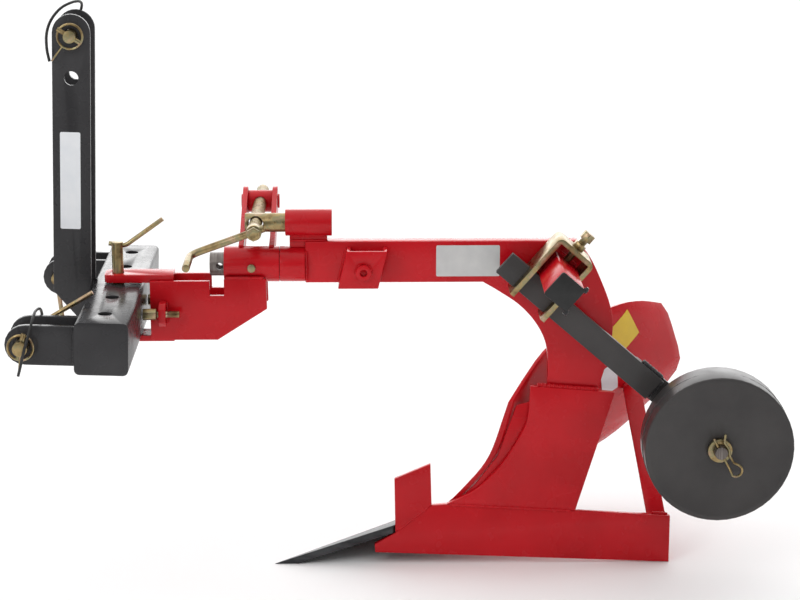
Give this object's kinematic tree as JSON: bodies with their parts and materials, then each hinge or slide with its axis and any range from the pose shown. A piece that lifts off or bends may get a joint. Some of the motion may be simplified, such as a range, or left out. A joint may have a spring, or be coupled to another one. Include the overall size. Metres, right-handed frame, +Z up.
{
  "type": "mounted moldboard plough",
  "caption": "Single-furrow moldboard plough for a compact tractor: hitch head, sliding carriage, gooseneck beam, share, curved moldboard, landside and a depth wheel on a clamped arm.",
  "frame": {"origin": "below the middle of the bounding box, on the floor", "axes": "+X to the rear, away from the tractor; +Y to the plough's right, the side the furrow is turned to; +Z up"},
  "size_m": [1.203, 0.5388, 0.9091],
  "materials": {
    "red_paint": "gloss",
    "grey_paint": "gloss",
    "yellow_zinc": "satin",
    "black_plastic": "matte",
    "dark_steel": "satin"
  },
  "bodies": {
    "headstock": {"cross_tube": "grey_paint", "lug_left_outer": "grey_paint", "lug_left_inner": "grey_paint", "lug_right_inner": "grey_paint", "lug_right_outer": "grey_paint", "mast_plate_left": "grey_paint", "mast_plate_right": "grey_paint", "top_link_pin": "yellow_zinc", "top_link_linch": "yellow_zinc", "lower_pin_left": "yellow_zinc", "lower_pin_right": "yellow_zinc", "lower_linch_left": "yellow_zinc", "lower_linch_right": "yellow_zinc", "tether_top": "black_plastic", "tether_left": "black_plastic", "tether_right": "black_plastic"},
    "carriage": {"carriage_top_plate": "red_paint", "carriage_bottom_plate": "red_paint", "locking_pin": "yellow_zinc", "bracket_left": "red_paint", "bracket_right": "red_paint", "bracket_front": "red_paint", "screw_lug_left": "red_paint", "screw_lug_right": "red_paint", "front_sleeve": "red_paint", "sleeve_screw": "yellow_zinc", "screw_clevis_front": "red_paint", "screw_clevis_rear": "red_paint", "trunnion": "red_paint", "adjusting_spindle": "yellow_zinc", "crank_handle": "yellow_zinc"},
    "left_screw": {"set_screw_left": "yellow_zinc"},
    "right_screw": {"set_screw_right": "yellow_zinc"},
    "beam": {"rear_sleeve": "red_paint", "pivot_tube": "dark_steel", "gooseneck_beam": "red_paint", "nut_housing": "red_paint", "housing_web": "red_paint", "coulter_bracket": "red_paint", "coulter_boss": "red_paint", "wheel_stub": "red_paint", "stub_cap": "black_plastic", "clamp_strap": "yellow_zinc", "clamp_bolt": "yellow_zinc", "frog_plate": "red_paint", "landside": "red_paint", "fin": "red_paint", "share": "dark_steel", "moldboard": "red_paint", "moldboard_bracket": "red_paint", "moldboard_brace": "red_paint"},
    "nut": {"nut_tube": "yellow_zinc"},
    "wheel_support": {"wheel_arm": "grey_paint", "axle_plate": "grey_paint", "axle": "dark_steel", "axle_washer": "yellow_zinc", "hairpin_clip": "yellow_zinc"},
    "wheel": {"depth_wheel": "grey_paint"}
  },
  "joints": [
    {"name": "carriage_yaw", "type": "hinge", "parent": "headstock", "child": "carriage", "pos_m": [-0.45752, 0, 0.428], "axis": [0, 0, 1], "range_deg": [-4, 4]},
    {"name": "left_screw_slide", "type": "slide", "parent": "carriage", "child": "left_screw", "axis": [1, 0, 0], "range_m": [-0.0033, 0.0033]},
    {"name": "right_screw_slide", "type": "slide", "parent": "carriage", "child": "right_screw", "axis": [1, 0, 0], "range_m": [-0.0033, 0.0033]},
    {"name": "beam_roll", "type": "hinge", "parent": "carriage", "child": "beam", "pos_m": [-0.20252, 0, 0.496], "axis": [1, 0, 0], "range_deg": [-12, 12]},
    {"name": "nut_swivel", "type": "hinge", "parent": "beam", "child": "nut", "pos_m": [-0.23902, 0, 0.5625], "axis": [1, 0, 0], "range_deg": [-12.5, 12.5]},
    {"name": "wheel_arm_slide", "type": "slide", "parent": "beam", "child": "wheel_support", "axis": [0.7547, 0, -0.6561], "range_m": [-0.12, 0.03]},
    {"name": "wheel_spin", "type": "hinge", "parent": "wheel_support", "child": "wheel", "pos_m": [0.48445, -0.085, 0.22251], "axis": [0, 1, 0], "continuous": true}
  ],
  "couplings": [
    {"joint": "left_screw_slide", "follows": "carriage_yaw", "m_per_rad": -0.045},
    {"joint": "right_screw_slide", "follows": "carriage_yaw", "m_per_rad": 0.045},
    {"joint": "nut_swivel", "follows": "beam_roll", "ratio": -1}
  ]
}
